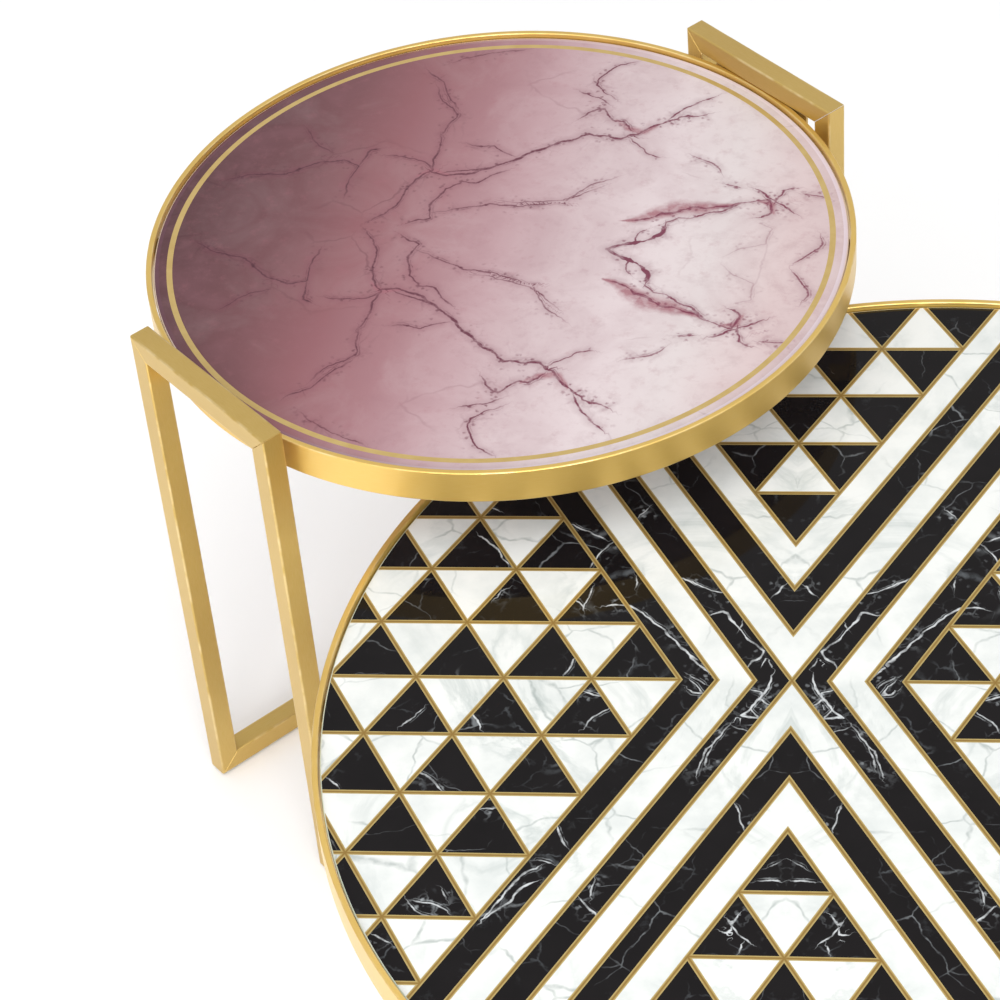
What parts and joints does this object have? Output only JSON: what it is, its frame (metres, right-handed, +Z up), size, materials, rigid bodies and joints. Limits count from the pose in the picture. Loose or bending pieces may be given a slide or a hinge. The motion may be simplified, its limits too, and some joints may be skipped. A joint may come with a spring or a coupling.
{
  "type": "nesting tables",
  "caption": "Round nesting tables: square-tube brass-finish frames with marble-print glass tops, the low wide table sliding in under the edge of the small tall table.",
  "frame": {"origin": "on the floor, at the centre of the bounding box's underside", "axes": "+X along the nesting axis from the tall table towards the low table, +Y across it, +Z up"},
  "size_m": [1.3926, 0.96, 0.5156],
  "materials": {
    "satin_brass": "satin brass-coloured plating over steel tube and flat bar",
    "pink_marble_glass": "polished clear glass with an opaque pink marble print behind it",
    "patterned_marble_glass": "polished clear glass with an opaque black and white marble print behind it",
    "zinc_steel": "bright zinc plated",
    "silicone": "soft clear silicone",
    "glide_plastic": "matt black plastic"
  },
  "bodies": {
    "tall_table": {"tall_rim_band": "satin_brass", "tall_glass_top": "pink_marble_glass", "tall_top_bar_1": "satin_brass", "tall_top_bar_2": "satin_brass", "tall_post_1_left": "satin_brass", "tall_post_1_right": "satin_brass", "tall_post_2_left": "satin_brass", "tall_post_2_right": "satin_brass", "tall_floor_rail_1": "satin_brass", "tall_floor_rail_2": "satin_brass", "tall_rim_bracket_1": "satin_brass", "tall_rim_bracket_2": "satin_brass", "tall_rim_screw_1": "zinc_steel", "tall_rim_screw_2": "zinc_steel", "tall_rim_screw_3": "zinc_steel", "tall_rim_screw_4": "zinc_steel", "tall_glass_tab_1": "satin_brass", "tall_glass_tab_2": "satin_brass", "tall_glass_tab_3": "satin_brass", "tall_glass_tab_4": "satin_brass", "tall_bumper_1": "silicone", "tall_bumper_2": "silicone", "tall_bumper_3": "silicone", "tall_bumper_4": "silicone", "tall_floor_glide_1": "glide_plastic", "tall_floor_glide_2": "glide_plastic", "tall_floor_glide_3": "glide_plastic", "tall_floor_glide_4": "glide_plastic"},
    "low_table": {"low_rim_band": "satin_brass", "low_glass_top": "patterned_marble_glass", "low_top_bar_1": "satin_brass", "low_top_bar_2": "satin_brass", "low_post_1_left": "satin_brass", "low_post_1_right": "satin_brass", "low_post_2_left": "satin_brass", "low_post_2_right": "satin_brass", "low_floor_rail_1": "satin_brass", "low_floor_rail_2": "satin_brass", "low_rim_bracket_1": "satin_brass", "low_rim_bracket_2": "satin_brass", "low_rim_screw_1": "zinc_steel", "low_rim_screw_2": "zinc_steel", "low_rim_screw_3": "zinc_steel", "low_rim_screw_4": "zinc_steel", "low_glass_tab_1": "satin_brass", "low_glass_tab_2": "satin_brass", "low_glass_tab_3": "satin_brass", "low_glass_tab_4": "satin_brass", "low_bumper_1": "silicone", "low_bumper_2": "silicone", "low_bumper_3": "silicone", "low_bumper_4": "silicone", "low_floor_glide_1": "glide_plastic", "low_floor_glide_2": "glide_plastic", "low_floor_glide_3": "glide_plastic", "low_floor_glide_4": "glide_plastic"}
  },
  "joints": [
    {"name": "nesting_slide", "type": "slide", "parent": "tall_table", "child": "low_table", "axis": [1, 0, 0], "range_m": [-0.01, 0.6]}
  ]
}
